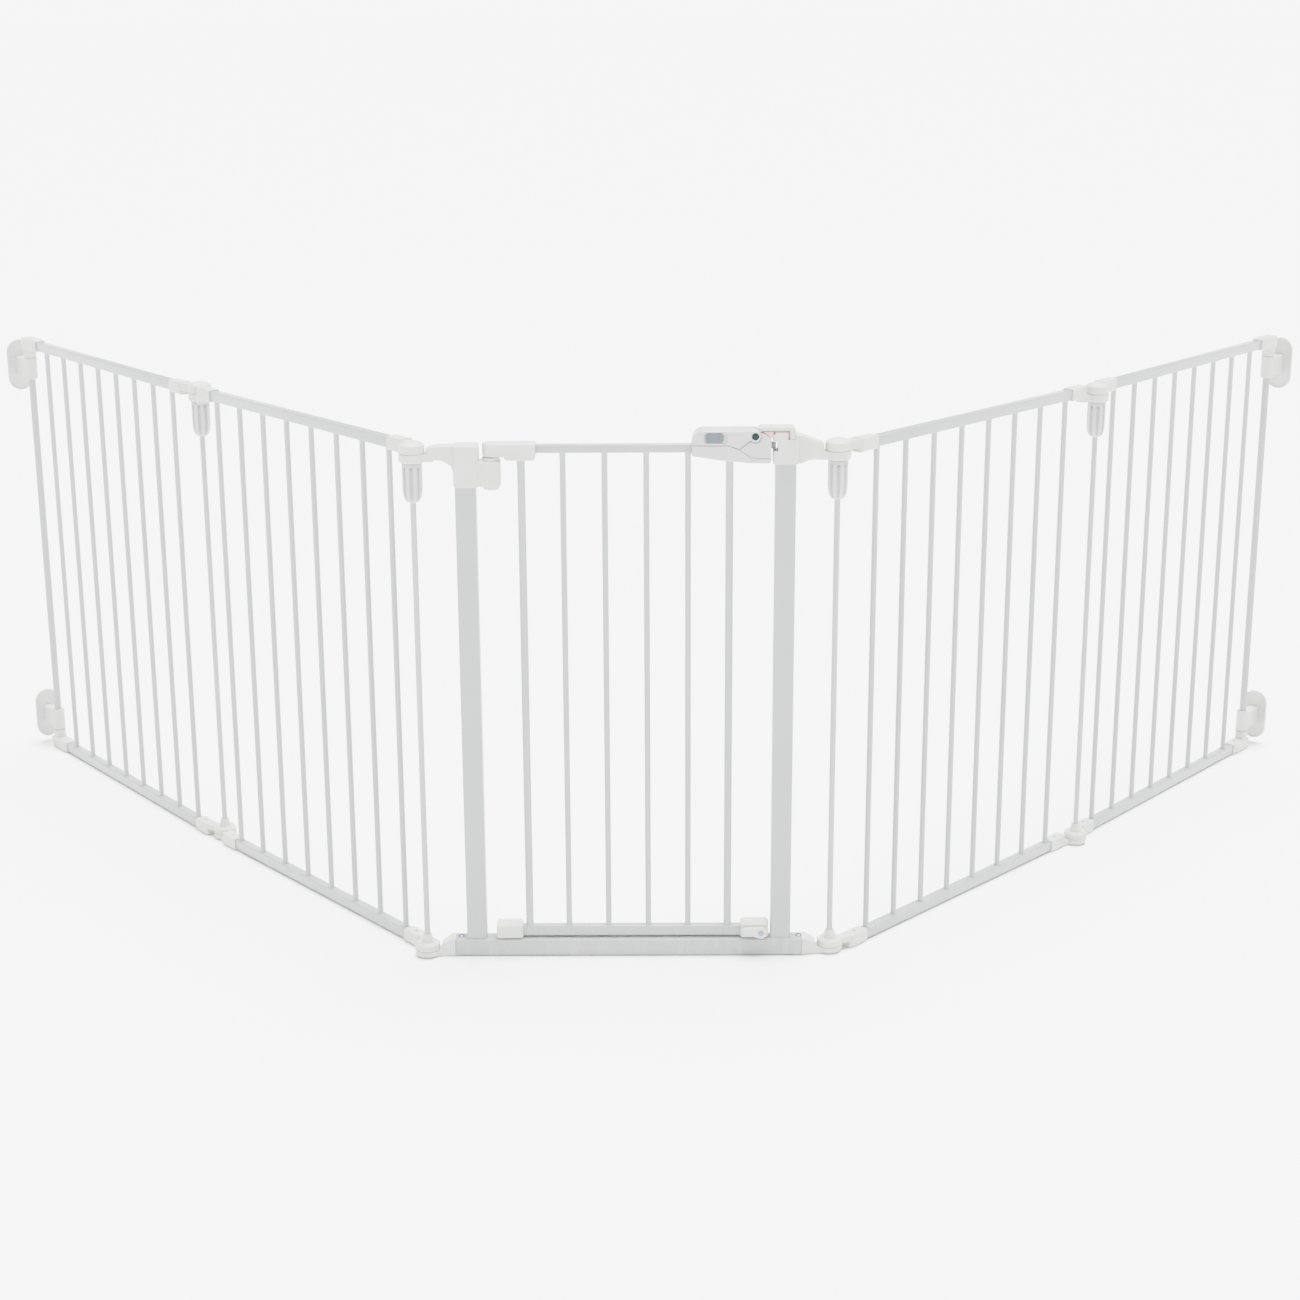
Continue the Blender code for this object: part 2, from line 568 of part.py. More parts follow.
def end_blocks(frame):
    """The mouldings on the ends of the bottom rail: one turns on the lower pin, the other takes the stop."""
    block = box((-0.0065, -0.0125, 0.0268), (0.0310, 0.0125, 0.0480), 0.0022)
    cut = [door_rail_pocket(-0.1700 - HINGE_X - GAP, 0.05, DOOR_BOTTOM),
           rod(0.0035 + GAP, 0.020, 0.0405, 0.0, 0.0, 16)]
    shape("lower_pivot_block", block, PLASTIC, frame, cut=cut)
    block = box((0.1600 - HINGE_X, -0.0122, 0.0268), (0.2000 - HINGE_X, 0.0122, 0.0500), 0.0028)
    cut = [door_rail_pocket(0.10 - HINGE_X, 0.1820 - HINGE_X + GAP, DOOR_BOTTOM),
           cross_rod(0.0020 + GAP, -0.020, 0.0, STOP_SCREW.x - HINGE_X, STOP_SCREW.z, 16)]
    shape("foot_block", block, PLASTIC, frame, cut=cut)


def latch(frame):
    """The housing on the door's free corner, with a lug for the handle's pin, and its sliding bolt."""
    def at(points):
        return [(a - HINGE_X, b) for a, b in points]

    half = HANDLE_D / 2
    rim = arc(PIN.x, PIN.z, EYE_R + 0.0006, 226, 390, 12)
    outline = [(0.0896, 0.7294), (0.0896, 0.7434), (0.1397, 0.7434), (0.1537, 0.7379), *rim,
               (0.1865, 0.7593), (0.1968, 0.7515), (0.1968, 0.7212), (0.1948, 0.7190),
               (0.1700, 0.7192), (0.1290, 0.7230)]
    lug = [(0.1712, 0.7400), *arc(PIN.x, PIN.z, EYE_R - 0.0003, 235, -60, 14), (0.1793, 0.7400)]
    lug = prism(at(lug), -LUG_Y, LUG_Y)
    stile = STILE_X - HINGE_X
    cut = [door_rail_pocket(0.0500 - HINGE_X, 0.1470 - HINGE_X + GAP, DOOR_TOP, 0.76),
           rod(STILE_R + GAP, 0.70, 0.7360, stile, 0.0, 16),
           box((0.1795 - HINGE_X, -0.0054, 0.7366), (0.21 - HINGE_X, 0.0054, 0.7459)),
           cross_rod(0.0030 + GAP, -0.04, 0.04, PIN.x - HINGE_X, PIN.z)]
    seam = [(0.1525, 0.7390), (0.1696, 0.7282), (0.1790, 0.7267), (0.1980, 0.7267), (0.1980, 0.7253),
            (0.1786, 0.7253), (0.1690, 0.7270), (0.1512, 0.7382)]
    cut += [prism(at(seam), -half - 0.001, -half + 0.0016), prism(at(seam), half - 0.0016, half + 0.001)]
    shape("latch_housing", prism(at(outline), -half, half, "Y", 0.0012), PLASTIC, frame, [lug], cut)
    bolt = box((0.1862 - HINGE_X, -0.0050, 0.7370), (0.2035 - HINGE_X, 0.0050, 0.7455), 0.0008)
    place(bolt, "latch_bolt", BUTTON, frame)
    pin = cross_rod(0.0030, -half + 0.0010, half - 0.0005, PIN.x - HINGE_X, PIN.z)
    head = cross_rod(0.0050, -half + 0.0004, -half + 0.0016, PIN.x - HINGE_X, PIN.z)
    shape("handle_pin", pin, ZINC, frame, [head])


def handle(frame):
    """The lever that lifts, a hollow shell with its frame on the pivot pin, and its slide button."""
    def at(points):
        return [(a - PIN.x, b) for a, b in points]

    half = HANDLE_D / 2
    rim = arc(PIN.x, PIN.z, EYE_R, 100, -140, 14)
    outline = [(0.0898, 0.7438), *arc(0.1060, 0.7478, 0.0162, 180, 96, 5), (0.1660, 0.7640),
               *rim, (0.1538, 0.7384), (0.1400, 0.7438)]
    cut = [prism(rounded(0.0161, 0.0076, 0.0045, 3, 0.1219 - PIN.x, 0.7539), -half - 0.003, -half + 0.0022),
           box((0.1160 - PIN.x, -half - 0.001, 0.7515), (0.1290 - PIN.x, -half + 0.006, 0.7563)),
           cross_rod(0.0030 + GAP, -0.04, 0.04, 0.0, PIN.z),
           cross_rod(0.0050 + GAP, -0.04, -half + 0.0020, 0.0, PIN.z),
           cross_rod(EYE_R + 0.0004, -LUG_Y - GAP, LUG_Y + GAP, 0.0, PIN.z, 32),
           box((0.0960 - PIN.x, -half + 0.0045, 0.7300), (0.1500 - PIN.x, half - 0.0045, 0.7590))]
    shape("handle_lever", prism(at(outline), -half, half, "Y", 0.0014), GRIP, frame, cut=cut)
    outline = rounded(0.0122, 0.0061, 0.0040, 3, 0.1204 - PIN.x, 0.7539)
    button = prism(outline, -half - 0.0012, -half + 0.0018)
    stem = box((0.1164 - PIN.x, -half + 0.0010, 0.7519), (0.1240 - PIN.x, -half + 0.0058, 0.7559))
    shape("slide_button", button, BUTTON, frame, [stem])


def foot_stop(frame):
    """A small stop on the front of the foot block, which turns about its screw."""
    z0 = STOP_SCREW.z
    outline = [*arc(0.0, z0, 0.0084, -115, 100, 12), (-0.0240, z0 + 0.0068), (-0.0262, z0 + 0.0050),
               (-0.0262, z0 - 0.0005), (-0.0240, z0 - 0.0024)]
    cut = [cross_rod(0.0020 + GAP, -0.030, 0.0, 0.0, z0, 16),
           cross_rod(0.0040 + GAP, -0.030, -0.0180, 0.0, z0, 20)]
    body = prism(outline, -0.0195, -0.0128, "Y", 0.001)
    shape("foot_stop", body, PLASTIC, frame, cut=cut)
    shape("foot_stop_screw", cross_rod(0.0020, -0.0190, -0.0070, 0.0, z0, 16), ZINC, frame,
          add=[cross_rod(0.0040, -0.0194, -0.0184, 0.0, z0, 20)])


# ---------------------------------------------------------------- the gate
gate_posts()
threshold()
threshold_plug("hinge", -1)
threshold_plug("latch", 1)
hinge_bracket()
strike_bracket()
foot_screws()
door_axis = empty("door_axis", (HINGE_X, 0.0, 0.0))
door(door_axis)
latch(door_axis)
handle(empty("handle_axis", (PIN.x - HINGE_X, 0.0, 0.0), 0.0, door_axis))
foot_stop(empty("stop_axis", (STOP_SCREW.x - HINGE_X, 0.0, 0.0), 0.0, door_axis))
for wing_side in ("left", "right"):
    wing(wing_side)
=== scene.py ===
# %% [markdown]
# # A folding pet gate
# The gate is a frame with a swinging door between two folding wings. Steel rails and bars are coated
# in pale grey powder, and the joints, cuffs and handle are white mouldings.
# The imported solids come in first: they give every position, and each new piece follows them.

# %% Load the gate
import json
import math

import bpy
from mathutils import Matrix, Vector


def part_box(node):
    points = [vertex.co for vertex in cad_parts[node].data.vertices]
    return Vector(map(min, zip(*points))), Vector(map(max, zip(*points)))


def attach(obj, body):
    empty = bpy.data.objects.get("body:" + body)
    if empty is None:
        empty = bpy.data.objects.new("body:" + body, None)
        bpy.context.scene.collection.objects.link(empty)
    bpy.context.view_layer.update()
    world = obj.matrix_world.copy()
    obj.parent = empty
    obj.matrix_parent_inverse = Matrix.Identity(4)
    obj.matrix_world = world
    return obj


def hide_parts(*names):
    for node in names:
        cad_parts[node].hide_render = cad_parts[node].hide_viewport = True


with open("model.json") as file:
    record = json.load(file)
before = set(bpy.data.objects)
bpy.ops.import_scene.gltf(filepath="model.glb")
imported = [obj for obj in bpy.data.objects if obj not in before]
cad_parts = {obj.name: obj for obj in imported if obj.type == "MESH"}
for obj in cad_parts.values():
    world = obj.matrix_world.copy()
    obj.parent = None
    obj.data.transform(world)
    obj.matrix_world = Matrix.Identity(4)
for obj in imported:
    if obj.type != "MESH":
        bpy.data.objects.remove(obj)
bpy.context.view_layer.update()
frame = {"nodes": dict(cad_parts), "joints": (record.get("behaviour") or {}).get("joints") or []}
nodes = frame["nodes"]
MM = 0.001


# %% [markdown]
# ## Helpers for modelling
# An operator works on whatever is selected, so a small step that deselects everything comes before
# each new primitive. A finished piece keeps its place in its mesh, so transforms are applied at the end.

# %% Selection and finishing helpers
def clear_selection():
    if bpy.context.object and bpy.context.object.mode != "OBJECT":
        bpy.ops.object.mode_set(mode="OBJECT")
    bpy.ops.object.select_all(action="DESELECT")


def only(obj):
    clear_selection()
    obj.select_set(True)
    bpy.context.view_layer.objects.active = obj


def settle(obj, angle=35):
    """Applies place and turn, mends the normals and shades the piece by angle."""
    only(obj)
    bpy.ops.object.transform_apply(location=True, rotation=True, scale=True)
    bpy.ops.object.mode_set(mode="EDIT")
    bpy.ops.mesh.select_all(action="SELECT")
    bpy.ops.mesh.normals_make_consistent(inside=False)
    bpy.ops.object.mode_set(mode="OBJECT")
    bpy.ops.object.shade_smooth_by_angle(angle=math.radians(angle))


def join(parts, name):
    """Joins objects, each with its own mesh, into one piece."""
    clear_selection()
    for part in parts:
        part.select_set(True)
    bpy.context.view_layer.objects.active = parts[0]
    bpy.ops.object.join()
    parts[0].name = name
    return parts[0]


def copy_of(obj):
    """A copy with a mesh of its own."""
    made = obj.copy()
    made.data = obj.data.copy()
    bpy.context.collection.objects.link(made)
    return made


def dress(piece, body, finish, slot, *stands_for):
    """Gives a piece its finish, its body and the solids that it stands for."""
    piece.data.materials.clear()
    piece.data.materials.append(finish)
    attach(piece, body)
    if stands_for:
        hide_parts(*stands_for)


print("modelling helpers ready")


# %% [markdown]
# Turned shapes, such as bars with their weld beads and the fluted grips, are drawn up from a disc, as on
# a lathe: the top face is extruded and scaled once for each step of the outline.

# %% A turned shape
def turn_up(outline, sides, at=(0.0, 0.0)):
    """A closed round shape from (radius, height) steps, lowest first."""
    clear_selection()
    first_r, first_z = outline[0]
    bpy.ops.mesh.primitive_circle_add(vertices=sides, radius=first_r, fill_type="NGON",
                                      location=(at[0], at[1], first_z))
    obj = bpy.context.object
    bpy.ops.object.transform_apply(location=True, rotation=True, scale=True)
    bpy.ops.object.mode_set(mode="EDIT")
    bpy.ops.mesh.select_all(action="SELECT")
    radius, height = first_r, first_z
    for r, z in outline[1:]:
        bpy.ops.mesh.extrude_region_move(TRANSFORM_OT_translate={"value": (0.0, 0.0, z - height)})
        bpy.ops.transform.resize(value=(r / radius, r / radius, 1.0), center_override=(at[0], at[1], z))
        radius, height = r, z
    bpy.ops.mesh.select_all(action="SELECT")
    bpy.ops.mesh.remove_doubles(threshold=1e-6)
    bpy.ops.mesh.normals_make_consistent(inside=False)
    bpy.ops.object.mode_set(mode="OBJECT")
    return obj


def beam(low, high, edge, segments=3):
    """A square bar with rounded edges between two corners."""
    clear_selection()
    size = Vector(high) - Vector(low)
    bpy.ops.mesh.primitive_cube_add(size=1.0, location=(Vector(low) + Vector(high)) / 2)
    obj = bpy.context.object
    obj.scale = size
    bpy.ops.object.transform_apply(location=True, rotation=True, scale=True)
    bpy.ops.object.mode_set(mode="EDIT")
    bpy.ops.mesh.select_all(action="SELECT")
    bpy.ops.mesh.bevel(offset=edge, segments=segments, affect="EDGES")
    bpy.ops.object.mode_set(mode="OBJECT")
    return obj


print("turning and beam helpers ready")


# %% [markdown]
# ## Writing materials as sums
# Each finish is built from noise patterns that change its colour, gloss and surface. Writing those as
# Python sums keeps them readable: a small class wraps a socket, and each operator adds its Math node.

# %% Sums on sockets
class Value:
    def __init__(self, finish, socket):
        self.finish = finish
        self.socket = socket

    def _math(self, operation, first, second):
        made = self.finish.add("ShaderNodeMath", {"operation": operation}, {0: first, 1: second})
        return Value(self.finish, made.outputs[0])

    def __add__(self, other):
        return self._math("ADD", self, other)

    def __radd__(self, other):
        return self._math("ADD", other, self)

    def __sub__(self, other):
        return self._math("SUBTRACT", self, other)

    def __rsub__(self, other):
        return self._math("SUBTRACT", other, self)

    def __mul__(self, other):
        return self._math("MULTIPLY", self, other)

    def __rmul__(self, other):
        return self._math("MULTIPLY", other, self)

    def above(self, start, end):
        """0 below start and 1 above end, with a smooth change between."""
        made = self.finish.add("ShaderNodeMapRange", {"interpolation_type": "SMOOTHSTEP"},
                               {"Value": self, "From Min": start, "From Max": end})
        return Value(self.finish, made.outputs[0])


# %% One method for every other node
class Finish:
    def __init__(self, name):
        self.material = bpy.data.materials.new(name)
        self.material.use_nodes = True
        self.tree = self.material.node_tree
        self.shader = self.tree.nodes["Principled BSDF"]
        self.place = self.add("ShaderNodeTexCoord", {}, {}).outputs["Object"]

    def feed(self, socket, value):
        if isinstance(value, Value):
            value = value.socket
        if isinstance(value, bpy.types.NodeSocket):
            self.tree.links.new(value, socket)
        else:
            socket.default_value = value

    def add(self, kind, settings, inputs):
        made = self.tree.nodes.new(kind)
        for name, value in settings.items():
            setattr(made, name, value)
        for name, value in inputs.items():
            self.feed(made.inputs[name], value)
        return made

    def noise(self, scale, detail=3.0, stretch=(1.0, 1.0, 1.0)):
        spot = self.add("ShaderNodeMapping", {}, {"Vector": self.place, "Scale": stretch})
        made = self.add("ShaderNodeTexNoise", {},
                        {"Vector": spot.outputs[0], "Scale": scale, "Detail": detail})
        return Value(self, made.outputs[0])

    def blend(self, amount, first, second):
        """A colour between two, by a number from 0 to 1."""
        made = self.add("ShaderNodeMix", {"data_type": "RGBA"}, {0: amount, 6: first, 7: second})
        return made.outputs[2]

    def height(self):
        parts = self.add("ShaderNodeSeparateXYZ", {}, {0: self.place})
        return Value(self, parts.outputs[2])

    def bump(self, height, strength, distance):
        made = self.add("ShaderNodeBump", {}, {"Height": height, "Strength": strength, "Distance": distance})
        self.feed(self.shader.inputs["Normal"], made.outputs[0])

    def set(self, **inputs):
        for name, value in inputs.items():
            self.feed(self.shader.inputs[name.replace("_", " ")], value)


print("material helpers ready")


# %% [markdown]
# ## Powder coat
# The steel is dipped in dry powder and baked. The coat flows into a faint orange peel, with tiny specks
# where grains did not melt. Near the floor it picks up grey scuffs, so that mask fades out with height.

# %% Powder coated steel
def powder_coat(name, light, shade, peel=0.35):
    finish = Finish(name)
    patches = finish.noise(9.0, 4.0).above(0.3, 0.75)
    specks = finish.noise(2600.0, 1.0).above(0.66, 0.74)
    low = 1.0 - finish.height().above(0.004, 0.075)
    scuffs = low * finish.noise(120.0, 5.0, (1.0, 1.0, 0.25)).above(0.50, 0.72)
    colour = finish.blend(patches * 0.5 + specks * 0.25, light, shade)
    colour = finish.blend(scuffs * 0.30, colour, (0.42, 0.41, 0.39, 1.0))
    peel_height = finish.noise(620.0, 2.0) + specks * 0.25
    finish.set(Base_Color=colour, Roughness=0.30 + patches * 0.07 + scuffs * 0.2)
    finish.bump(peel_height, peel, 0.00012)
    finish.shader.inputs["Coat Weight"].default_value = 0.25
    finish.shader.inputs["Coat Roughness"].default_value = 0.2
    return finish.material


STEEL = powder_coat("powder_coat", (0.240, 0.247, 0.249, 1.0), (0.206, 0.213, 0.217, 1.0))
ROD_STEEL = powder_coat("powder_coat_rod", (0.27, 0.27, 0.285, 1.0), (0.23, 0.23, 0.245, 1.0), 0.25)
print("powder coats:", STEEL.name, ROD_STEEL.name)


# %% [markdown]
# ## Moulded plastic
# The mouldings come out of a spark-eroded tool, which leaves a fine even grain. The plastic cools
# unevenly, so its colour and gloss drift a little, and handled surfaces are slightly smoother.

# %% Moulded plastics
def moulding(name, light, shade, rough, grain=0.30, grain_scale=1500.0, shade_grooves=False):
    finish = Finish(name)
    drift = finish.noise(22.0, 3.0).above(0.3, 0.72)
    grain_height = finish.noise(grain_scale, 2.0)
    flow = finish.noise(60.0, 4.0, (1.0, 1.0, 3.0))
    low = 1.0 - finish.height().above(0.002, 0.05)
    dust = low * finish.noise(90.0, 5.0).above(0.48, 0.75)
    colour = finish.blend(drift * 0.6 + flow * 0.15, light, shade)
    colour = finish.blend(dust * 0.28, colour, (0.43, 0.41, 0.38, 1.0))
    # Painted shade: the grip's flutes are darkened towards near black by the depth stored on their points.
    if shade_grooves:
        shade_marks = finish.add("ShaderNodeAttribute", {"attribute_name": "groove_shade"}, {})
        colour = finish.blend(Value(finish, shade_marks.outputs["Fac"]) * 0.85, colour, (0.075, 0.075, 0.08, 1.0))
    finish.set(Base_Color=colour, Roughness=rough + drift * 0.06 + dust * 0.15 + grain_height * 0.04)
    finish.bump(grain_height, grain, 0.00009)
    return finish.material


WHITE = moulding("white_moulding", (0.455, 0.455, 0.436, 1.0), (0.395, 0.395, 0.378, 1.0), 0.40)
HANDLE = moulding("handle_moulding", (0.39, 0.378, 0.388, 1.0), (0.335, 0.323, 0.333, 1.0), 0.34, 0.18)
# The grip takes painted shade in its flutes.
GRIP = moulding("grip_moulding", (0.40, 0.387, 0.405, 1.0), (0.34, 0.327, 0.345, 1.0), 0.38, 0.22,
                shade_grooves=True)
# Pink painted shade and reflected light, for the patch under the hood.
HOOD_SHADE_PAINT = moulding("painted_hood_shade", (0.62, 0.46, 0.47, 1.0), (0.56, 0.41, 0.42, 1.0), 0.40)
BUTTON = moulding("button_moulding", (0.045, 0.062, 0.076, 1.0), (0.035, 0.048, 0.062, 1.0), 0.42, 0.2)
BOLT = moulding("bolt_moulding", (0.12, 0.13, 0.14, 1.0), (0.08, 0.09, 0.10, 1.0), 0.35, 0.15)
RED = moulding("red_moulding", (0.36, 0.045, 0.05, 1.0), (0.29, 0.035, 0.04, 1.0), 0.35, 0.12)
print("mouldings:", ", ".join(finish.name for finish in (WHITE, HANDLE, GRIP, HOOD_SHADE_PAINT, BUTTON, BOLT, RED)))


# %% [markdown]
# ## Plated screws and pins
# Zinc plating is a bright metal with a faint blue passivation film that varies in patches, and fine
# scratches from the driver and from rubbing.

# %% Zinc plate
def zinc(name, light, shade):
    finish = Finish(name)
    patches = finish.noise(300.0, 4.0).above(0.35, 0.68)
    scratches = finish.noise(1400.0, 3.0, (0.15, 1.0, 1.0))
    finish.set(Base_Color=finish.blend(patches, light, shade), Roughness=0.26 + scratches * 0.22)
    finish.bump(scratches, 0.15, 0.00005)
    finish.shader.inputs["Metallic"].default_value = 1.0
    return finish.material


ZINC = zinc("zinc_plate", (0.16, 0.21, 0.27, 1.0), (0.10, 0.145, 0.19, 1.0))
DARK_PIN = zinc("dark_pin", (0.016, 0.026, 0.023, 1.0), (0.009, 0.016, 0.015, 1.0))
print("metals:", ZINC.name, DARK_PIN.name)


# %% [markdown]
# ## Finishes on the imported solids
# A solid keeps its shape and takes a better material. Which one follows from its name.

# %% Finish every solid
def finish_for(name):
    if name.endswith(("_grille", "_post", "_end_post")) or name == "threshold_bar":
        return STEEL
    if name.endswith("_lock_rod"):
        return ROD_STEEL
    if name.endswith("_lock_grip"):
        return GRIP
    if name == "handle_pin":
        return DARK_PIN
    if name.endswith(("_screw", "_pin")):
        return ZINC
    special = {"handle_lever": HANDLE, "latch_housing": HANDLE, "slide_button": BUTTON,
               "latch_bolt": BOLT, "lock_indicator": RED}
    return special.get(name, WHITE)


for name, solid in nodes.items():
    solid.data.materials.clear()
    solid.data.materials.append(finish_for(name))
print("finished solids:", len(nodes))


# %% [markdown]
# ## Panels of rails and bars
# Each wing panel is two square rails with eight round bars welded between them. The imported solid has
# few sides to its bars, so the panel is made again here: one bar is turned with a small weld bead at
# each end and copied along the rails, in a straight row that is then swung to the panel's heading.

# %% Where each panel stands
def joint_point(name):
    for joint in frame["joints"]:
        if joint["name"] == name:
            return Vector(joint["pos_m"])
    raise ValueError(name)


BARS = 8
BAR_R = 4.2 * MM
PITCH = 66.1 * MM
END_GAP = 70.4 * MM
OFFSET = 11.1 * MM
RAIL = 15.0 * MM
RAIL_Z = (10.0 * MM, 737.5 * MM)
PANEL_LENGTH = 2 * END_GAP + (BARS - 1) * PITCH
HEADING = {"left_inner": 130.5, "left_outer": 128.4, "right_inner": 47.1, "right_outer": 50.0}
PANELS = {key: joint_point(key + "_fold") for key in HEADING}


def panel_matrix(key):
    """The panel's own frame: x along it from the knuckle, in its middle plane."""
    lean = -1.0 if key.endswith("inner") else 1.0
    turn = Matrix.Rotation(math.radians(HEADING[key]), 4, "Z")
    return Matrix.Translation(PANELS[key]) @ turn @ Matrix.Translation((0.0, lean * OFFSET, 0.0))


print("panel length", round(PANEL_LENGTH, 4), "m;", ", ".join(PANELS))


# %% One bar with its weld beads
def bar(radius, low, high, sides=24):
    """low and high are the faces of the rails that the bar is welded to."""
    bead = 1.1 * MM
    sunk = 2.0 * MM
    outline = [(radius, low - sunk), (radius + bead, low - 0.4 * MM), (radius + bead * 0.8, low + 0.5 * MM),
               (radius + bead * 0.3, low + 1.3 * MM), (radius, low + 2.0 * MM), (radius, high - 2.0 * MM),
               (radius + bead * 0.3, high - 1.3 * MM), (radius + bead * 0.8, high - 0.5 * MM),
               (radius + bead, high + 0.4 * MM), (radius, high + sunk)]
    return turn_up(outline, sides)


def row_of_bars(name, model, places):
    parts = []
    for x in places:
        piece = copy_of(model)
        piece.data.transform(Matrix.Translation((x, 0.0, 0.0)))
        parts.append(piece)
    return join(parts, name)


half = RAIL / 2
panel_bar = bar(BAR_R, RAIL_Z[0] + half, RAIL_Z[1] - half)
print("bar faces:", len(panel_bar.data.polygons))

# %% The four panels
for key in HEADING:
    body = key + "_panel"
    last = PANEL_LENGTH - (29 if key.endswith("inner") else 12.5) * MM
    bars = row_of_bars(key + "_bars", panel_bar, [END_GAP + i * PITCH for i in range(BARS)])
    rails = [beam((29 * MM, -half, z - half), (last, half, z + half), 1.6 * MM) for z in RAIL_Z]
    rails = join(rails, key + "_rails")
    for piece in (bars, rails):
        piece.data.transform(panel_matrix(key))
        settle(piece, 40)
    dress(bars, body, STEEL, "painted_steel")
    dress(rails, body, STEEL, "painted_steel", key + "_grille")
    print(key, "bars", len(bars.data.polygons), "rails", len(rails.data.polygons))
bpy.data.objects.remove(panel_bar, do_unlink=True)

# %% [markdown]
# ## The door's bars
# The door leaf is built like a panel. Its two outer uprights, the stiles, are thicker than the four
# bars between them.

# %% The door leaf
DOOR_TOP = (732.0 * MM, 743.5 * MM)
DOOR_BOTTOM = (28.8 * MM, 43.8 * MM)
STILE_X = 141.3 * MM
STILE_R = 5.5 * MM
DOOR_BARS = 4
DOOR_PITCH = 56.6 * MM
thin = bar(BAR_R, DOOR_BOTTOM[1], DOOR_TOP[0])
thick = bar(STILE_R, DOOR_BOTTOM[1], DOOR_TOP[0], 32)
places = [(i - (DOOR_BARS - 1) / 2) * DOOR_PITCH for i in range(DOOR_BARS)]
door_bars = row_of_bars("door_bars", thin, places)
door_stiles = row_of_bars("door_stiles", thick, [-STILE_X, STILE_X])
door_rails = join([beam((-147 * MM, -6 * MM, DOOR_TOP[0]), (147 * MM, 6 * MM, DOOR_TOP[1]), 1.4 * MM),
                   beam((-170 * MM, -6 * MM, DOOR_BOTTOM[0]), (182 * MM, 6 * MM, DOOR_BOTTOM[1]), 1.4 * MM)],
                  "door_rails")
for piece in (door_bars, door_stiles):
    settle(piece, 40)
    dress(piece, "door", STEEL, "painted_steel")
settle(door_rails, 40)
dress(door_rails, "door", STEEL, "painted_steel", "door_grille")
for model in (thin, thick):
    bpy.data.objects.remove(model, do_unlink=True)

# %% [markdown]
# ## Round posts and rods
# The lock rods and the posts at the wings' ends are plain round bar with a small chamfer at each end,
# which shows only from below.

# %% Rods and end posts
def replace_rod(node, body, radius, finish):
    low, high = (Vector(corner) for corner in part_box(node))
    middle = (low + high) / 2
    chamfer = 0.6 * MM
    outline = [(radius - chamfer, low.z), (radius, low.z + chamfer), (radius, middle.z),
               (radius, high.z - chamfer), (radius - chamfer, high.z)]
    piece = turn_up(outline, 32, (middle.x, middle.y))
    piece.name = node + "_bar"
    settle(piece, 40)
    dress(piece, body, finish, "painted_steel", node)
    return piece


for key in HEADING:
    replace_rod(key + "_lock_rod", key + "_lock", 4.2 * MM, ROD_STEEL)
for side in ("left", "right"):
    replace_rod(side + "_outer_end_post", side + "_outer_panel", 6.0 * MM, STEEL)
print("rods and end posts made")

# %% [markdown]
# ## Fluted grips
# A grip hangs under each knuckle. Turning it locks the panel's angle. It is a barrel with eight finger
# flutes that run out near its narrow foot, and a collar at its top. The flutes carry painted shade, most in a
# short stretch at the top of each, where a small notch is painted in rather than cut.

# %% A fluted grip
FLUTES = 8


def pull_in(piece, centre, share):
    """Scales the selected points of a piece towards an upright axis."""
    clear_selection()
    piece.select_set(True)
    bpy.context.view_layer.objects.active = piece
    bpy.ops.object.mode_set(mode="EDIT")
    bpy.context.tool_settings.mesh_select_mode = (True, False, False)
    bpy.ops.transform.resize(value=(share, share, 1.0), center_override=(centre[0], centre[1], 0.0))
    bpy.ops.object.mode_set(mode="OBJECT")


def groove_depth(point, centre, foot, top):
    """How deep in a flute a point is, from 0 on a ridge to 1 at the bottom of a flute."""
    if not foot + 5.0 * MM < point.z < top - 5.2 * MM:
        return 0.0
    turn = math.atan2(point.x - centre[0], centre[1] - point.y) * FLUTES
    return 0.5 + 0.5 * math.cos(turn)


def paint_groove_shade(piece, centre, foot, top):
    """Stores painted shade on each point from its groove depth, darkest in the short notch at the top of each
    flute.
    """
    shade_marks = piece.data.attributes.new("groove_shade", "FLOAT", "POINT")
    for vert, mark in zip(piece.data.vertices, shade_marks.data):
        depth = max(0.0, groove_depth(vert.co, centre, foot, top) - 0.45) / 0.55
        mark.value = depth * (1.0 if vert.co.z > top - 9.2 * MM else 0.55)


